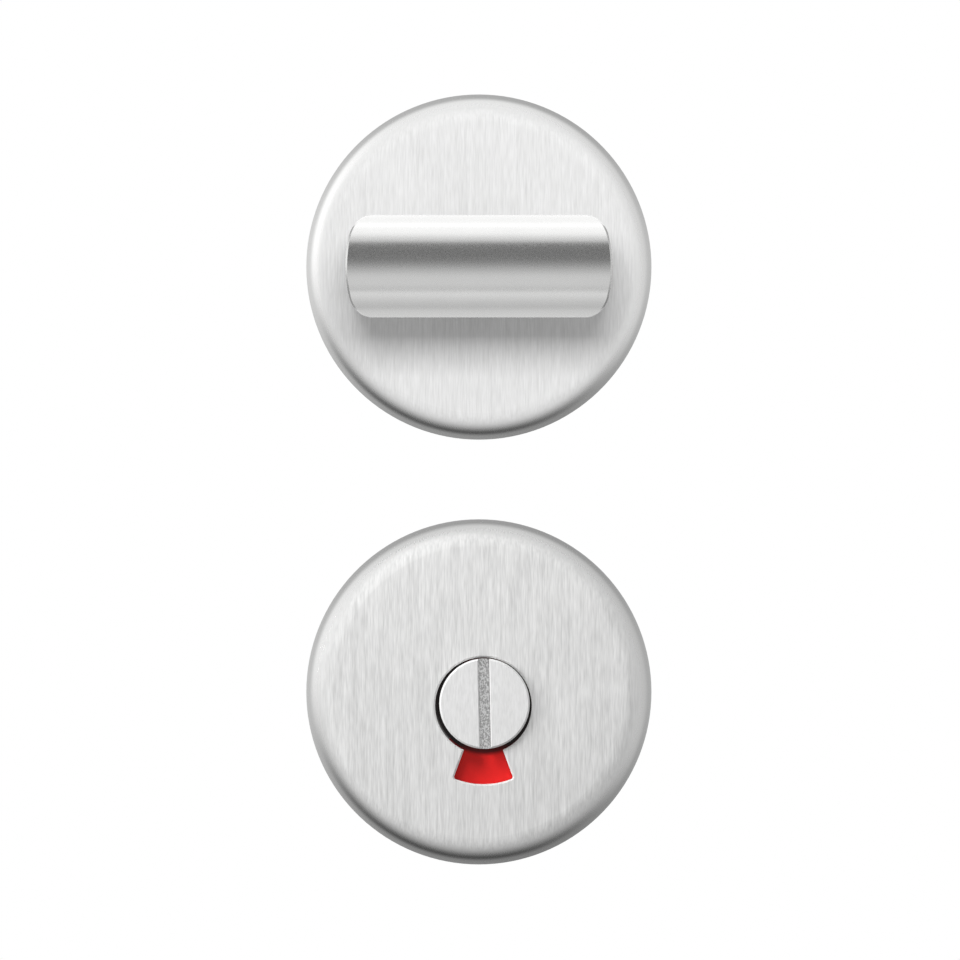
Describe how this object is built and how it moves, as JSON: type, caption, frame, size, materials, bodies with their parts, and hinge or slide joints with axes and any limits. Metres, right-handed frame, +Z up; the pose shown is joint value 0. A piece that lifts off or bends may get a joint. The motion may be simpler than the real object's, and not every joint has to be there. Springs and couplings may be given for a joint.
{
  "type": "bathroom thumb turn lock",
  "caption": "Round-rose bathroom door lock set: a satin steel bar-shaped thumb turn for the inside and a coin-slot release with a red indicator window for the outside.",
  "frame": {"origin": "on the thumb turn's axis, at the plane of the door's face behind the turn rose", "axes": "+X right and +Z up as the roses are looked at from in front; +Y goes from the roses into the door"},
  "size_m": [0.052, 0.0744, 0.116],
  "materials": {
    "satin_steel": "satin stainless steel with fine upright brushing",
    "blasted_steel": "fine bead-blasted stainless steel",
    "plug_steel": "satin stainless steel with a milled slot",
    "nylon": "natural nylon",
    "plated_steel": "bright zinc-plated steel",
    "spring_steel": "oiled spring steel",
    "indicator_enamel": "smooth red and white enamel on steel"
  },
  "bodies": {
    "door_fittings": {"turn_rose_cover": "satin_steel", "turn_cover_bush": "nylon", "turn_backplate": "plated_steel", "turn_cover_snap_ring": "spring_steel", "turn_bolt_left": "plated_steel", "turn_bolt_right": "plated_steel", "release_rose_cover": "satin_steel", "release_bush": "nylon", "release_backplate": "plated_steel", "release_cover_snap_ring": "spring_steel", "release_post_left": "plated_steel", "release_post_right": "plated_steel"},
    "thumb_turn": {"thumb_turn_bar": "blasted_steel", "thumb_turn_neck": "blasted_steel", "turn_grub_screw": "spring_steel", "turn_spindle": "plated_steel", "turn_wave_washer": "spring_steel", "turn_thrust_washer": "spring_steel", "turn_retaining_ring": "spring_steel"},
    "release": {"release_plug": "plug_steel", "indicator_disc": "indicator_enamel", "release_wave_washer": "spring_steel", "release_thrust_washer": "spring_steel", "release_retaining_ring": "spring_steel"}
  },
  "joints": [
    {"name": "thumb_turn_hinge", "type": "hinge", "parent": "door_fittings", "child": "thumb_turn", "pos_m": [0, 0, 0], "axis": [0, -1, 0], "range_deg": [0, 90]},
    {"name": "release_hinge", "type": "hinge", "parent": "door_fittings", "child": "release", "pos_m": [0.00085, 0, -0.06575], "axis": [0, -1, 0], "range_deg": [-90, 0]}
  ],
  "couplings": [
    {"joint": "release_hinge", "follows": "thumb_turn_hinge", "ratio": -1}
  ]
}
